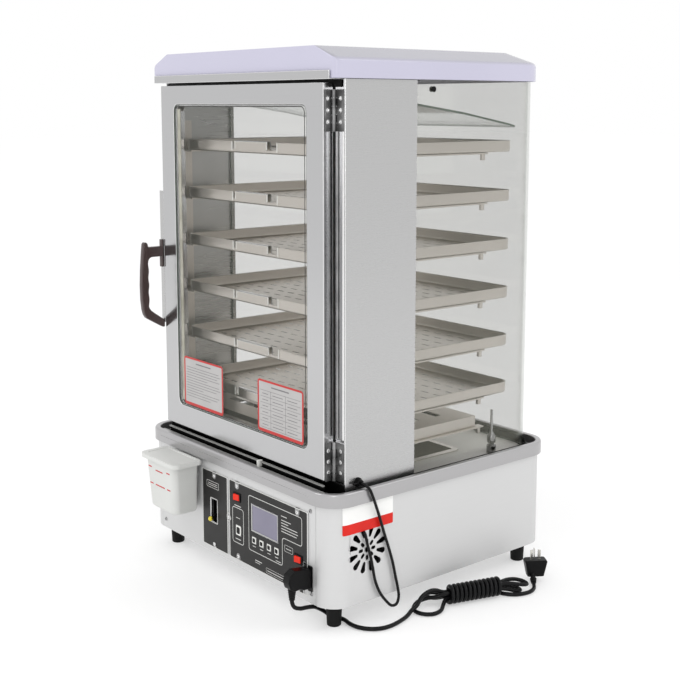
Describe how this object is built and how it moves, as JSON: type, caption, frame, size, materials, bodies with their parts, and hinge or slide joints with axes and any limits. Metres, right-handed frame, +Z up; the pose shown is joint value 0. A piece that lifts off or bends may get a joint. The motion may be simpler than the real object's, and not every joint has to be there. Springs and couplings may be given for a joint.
{
  "type": "bun steamer cabinet",
  "caption": "Countertop steamer cabinet: heated water base, glass cabinet with sliding trays, hinged glass door, moulded lid and a control panel.",
  "frame": {"origin": "centre of the footprint's bounding box, at the underside of the feet", "axes": "+X to the right seen from the front, +Y to the back, +Z up"},
  "size_m": [0.7383, 0.666, 1.0611],
  "materials": {
    "steel": "brushed stainless sheet",
    "polished": "polished stainless fittings",
    "tray_steel": "satin stainless trays",
    "glass": "clear tempered glass",
    "lid_plastic": "pale moulded lid",
    "white_plastic": "white moulding",
    "black_plastic": "black moulding",
    "panel_film": "dark printed film",
    "brown_plastic": "dark brown moulding",
    "red_plastic": "lit red rocker",
    "yellow_plastic": "yellow tip",
    "black_rubber": "black rubber and lead sheath",
    "screen": "grey display",
    "element_metal": "sheathed heating element"
  },
  "bodies": {
    "cabinet": {"base_wrap": "steel", "front_plate": "steel", "base_floor": "steel", "foot_front_left": "black_rubber", "foot_front_right": "black_rubber", "foot_rear_left": "black_rubber", "foot_rear_right": "black_rubber", "top_pan": "steel", "water_tank": "steel", "heating_element": "element_metal", "drip_tray": "tray_steel", "relief_valve": "polished", "level_probe": "white_plastic", "filler_panel": "panel_film", "fill_valve": "black_plastic", "control_panel": "panel_film", "display_module": "screen", "heater_switch_housing": "black_plastic", "power_switch_housing": "black_plastic", "power_inlet": "black_plastic", "mains_connector": "black_plastic", "left_side_panel": "steel", "right_side_panel": "steel", "front_frame": "steel", "bent_glass": "glass", "glass_plug": "black_rubber", "lid": "lid_plastic", "condensate_shield": "glass", "left_tray_rack": "steel", "right_tray_rack": "steel", "lower_frame_leaf": "polished", "upper_frame_leaf": "polished", "sensor_gland": "black_rubber", "sensor_cord": "black_rubber", "mains_cord": "black_rubber", "mains_hank": "black_rubber", "mains_plug": "black_plastic"},
    "door": {"door_frame": "steel", "door_glass": "glass", "door_gasket": "black_rubber", "handle_strip": "steel", "door_handle": "brown_plastic", "lower_door_leaf": "polished", "upper_door_leaf": "polished"},
    "tray_1_body": {"tray_1": "tray_steel"},
    "tray_2_body": {"tray_2": "tray_steel"},
    "tray_3_body": {"tray_3": "tray_steel"},
    "tray_4_body": {"tray_4": "tray_steel"},
    "tray_5_body": {"tray_5": "tray_steel"},
    "tray_6_body": {"tray_6": "tray_steel"},
    "heater_rocker_body": {"heater_rocker": "red_plastic"},
    "power_rocker_body": {"power_rocker": "red_plastic"},
    "set_key_body": {"set_key": "white_plastic"},
    "key_1_body": {"key_1": "white_plastic"},
    "key_2_body": {"key_2": "white_plastic"},
    "key_3_body": {"key_3": "white_plastic"},
    "key_4_body": {"key_4": "white_plastic"},
    "fill_lever_body": {"fill_lever": "yellow_plastic"},
    "water_box_body": {"water_box": "white_plastic"},
    "water_box_lid_body": {"water_box_lid": "white_plastic"}
  },
  "joints": [
    {"name": "door_swing", "type": "hinge", "parent": "cabinet", "child": "door", "pos_m": [0.2721, -0.2138, 0.64], "axis": [0, 0, 1], "range_deg": [0, 105]},
    {"name": "tray_1_slide", "type": "slide", "parent": "cabinet", "child": "tray_1_body", "axis": [0, -1, 0], "range_m": [-0.022, 0.018]},
    {"name": "tray_2_slide", "type": "slide", "parent": "cabinet", "child": "tray_2_body", "axis": [0, -1, 0], "range_m": [-0.022, 0.018]},
    {"name": "tray_3_slide", "type": "slide", "parent": "cabinet", "child": "tray_3_body", "axis": [0, -1, 0], "range_m": [-0.022, 0.018]},
    {"name": "tray_4_slide", "type": "slide", "parent": "cabinet", "child": "tray_4_body", "axis": [0, -1, 0], "range_m": [-0.022, 0.018]},
    {"name": "tray_5_slide", "type": "slide", "parent": "cabinet", "child": "tray_5_body", "axis": [0, -1, 0], "range_m": [-0.022, 0.018]},
    {"name": "tray_6_slide", "type": "slide", "parent": "cabinet", "child": "tray_6_body", "axis": [0, -1, 0], "range_m": [-0.022, 0.018]},
    {"name": "heater_rock", "type": "hinge", "parent": "cabinet", "child": "heater_rocker_body", "pos_m": [0.0215, -0.2581, 0.188], "axis": [0, 0, 1], "range_deg": [-20, 0]},
    {"name": "power_rock", "type": "hinge", "parent": "cabinet", "child": "power_rocker_body", "pos_m": [0.221, -0.2581, 0.121], "axis": [0, 0, 1], "range_deg": [-20, 0]},
    {"name": "set_key_press", "type": "slide", "parent": "cabinet", "child": "set_key_body", "axis": [0, 1, 0], "range_m": [0, 0.0015], "stiffness_N_per_m": 400},
    {"name": "key_1_press", "type": "slide", "parent": "cabinet", "child": "key_1_body", "axis": [0, 1, 0], "range_m": [0, 0.0015], "stiffness_N_per_m": 400},
    {"name": "key_2_press", "type": "slide", "parent": "cabinet", "child": "key_2_body", "axis": [0, 1, 0], "range_m": [0, 0.0015], "stiffness_N_per_m": 400},
    {"name": "key_3_press", "type": "slide", "parent": "cabinet", "child": "key_3_body", "axis": [0, 1, 0], "range_m": [0, 0.0015], "stiffness_N_per_m": 400},
    {"name": "key_4_press", "type": "slide", "parent": "cabinet", "child": "key_4_body", "axis": [0, 1, 0], "range_m": [0, 0.0015], "stiffness_N_per_m": 400},
    {"name": "fill_lever_swing", "type": "hinge", "parent": "cabinet", "child": "fill_lever_body", "pos_m": [-0.0625, -0.2333, 0.137], "axis": [1, 0, 0], "range_deg": [-45, 3]},
    {"name": "water_box_lift", "type": "slide", "parent": "cabinet", "child": "water_box_body", "axis": [0, 0, 1], "range_m": [0, 0.0125]},
    {"name": "water_box_lid_lift", "type": "slide", "parent": "water_box_body", "child": "water_box_lid_body", "axis": [0, 0, 1], "range_m": [0, 0.028]}
  ]
}
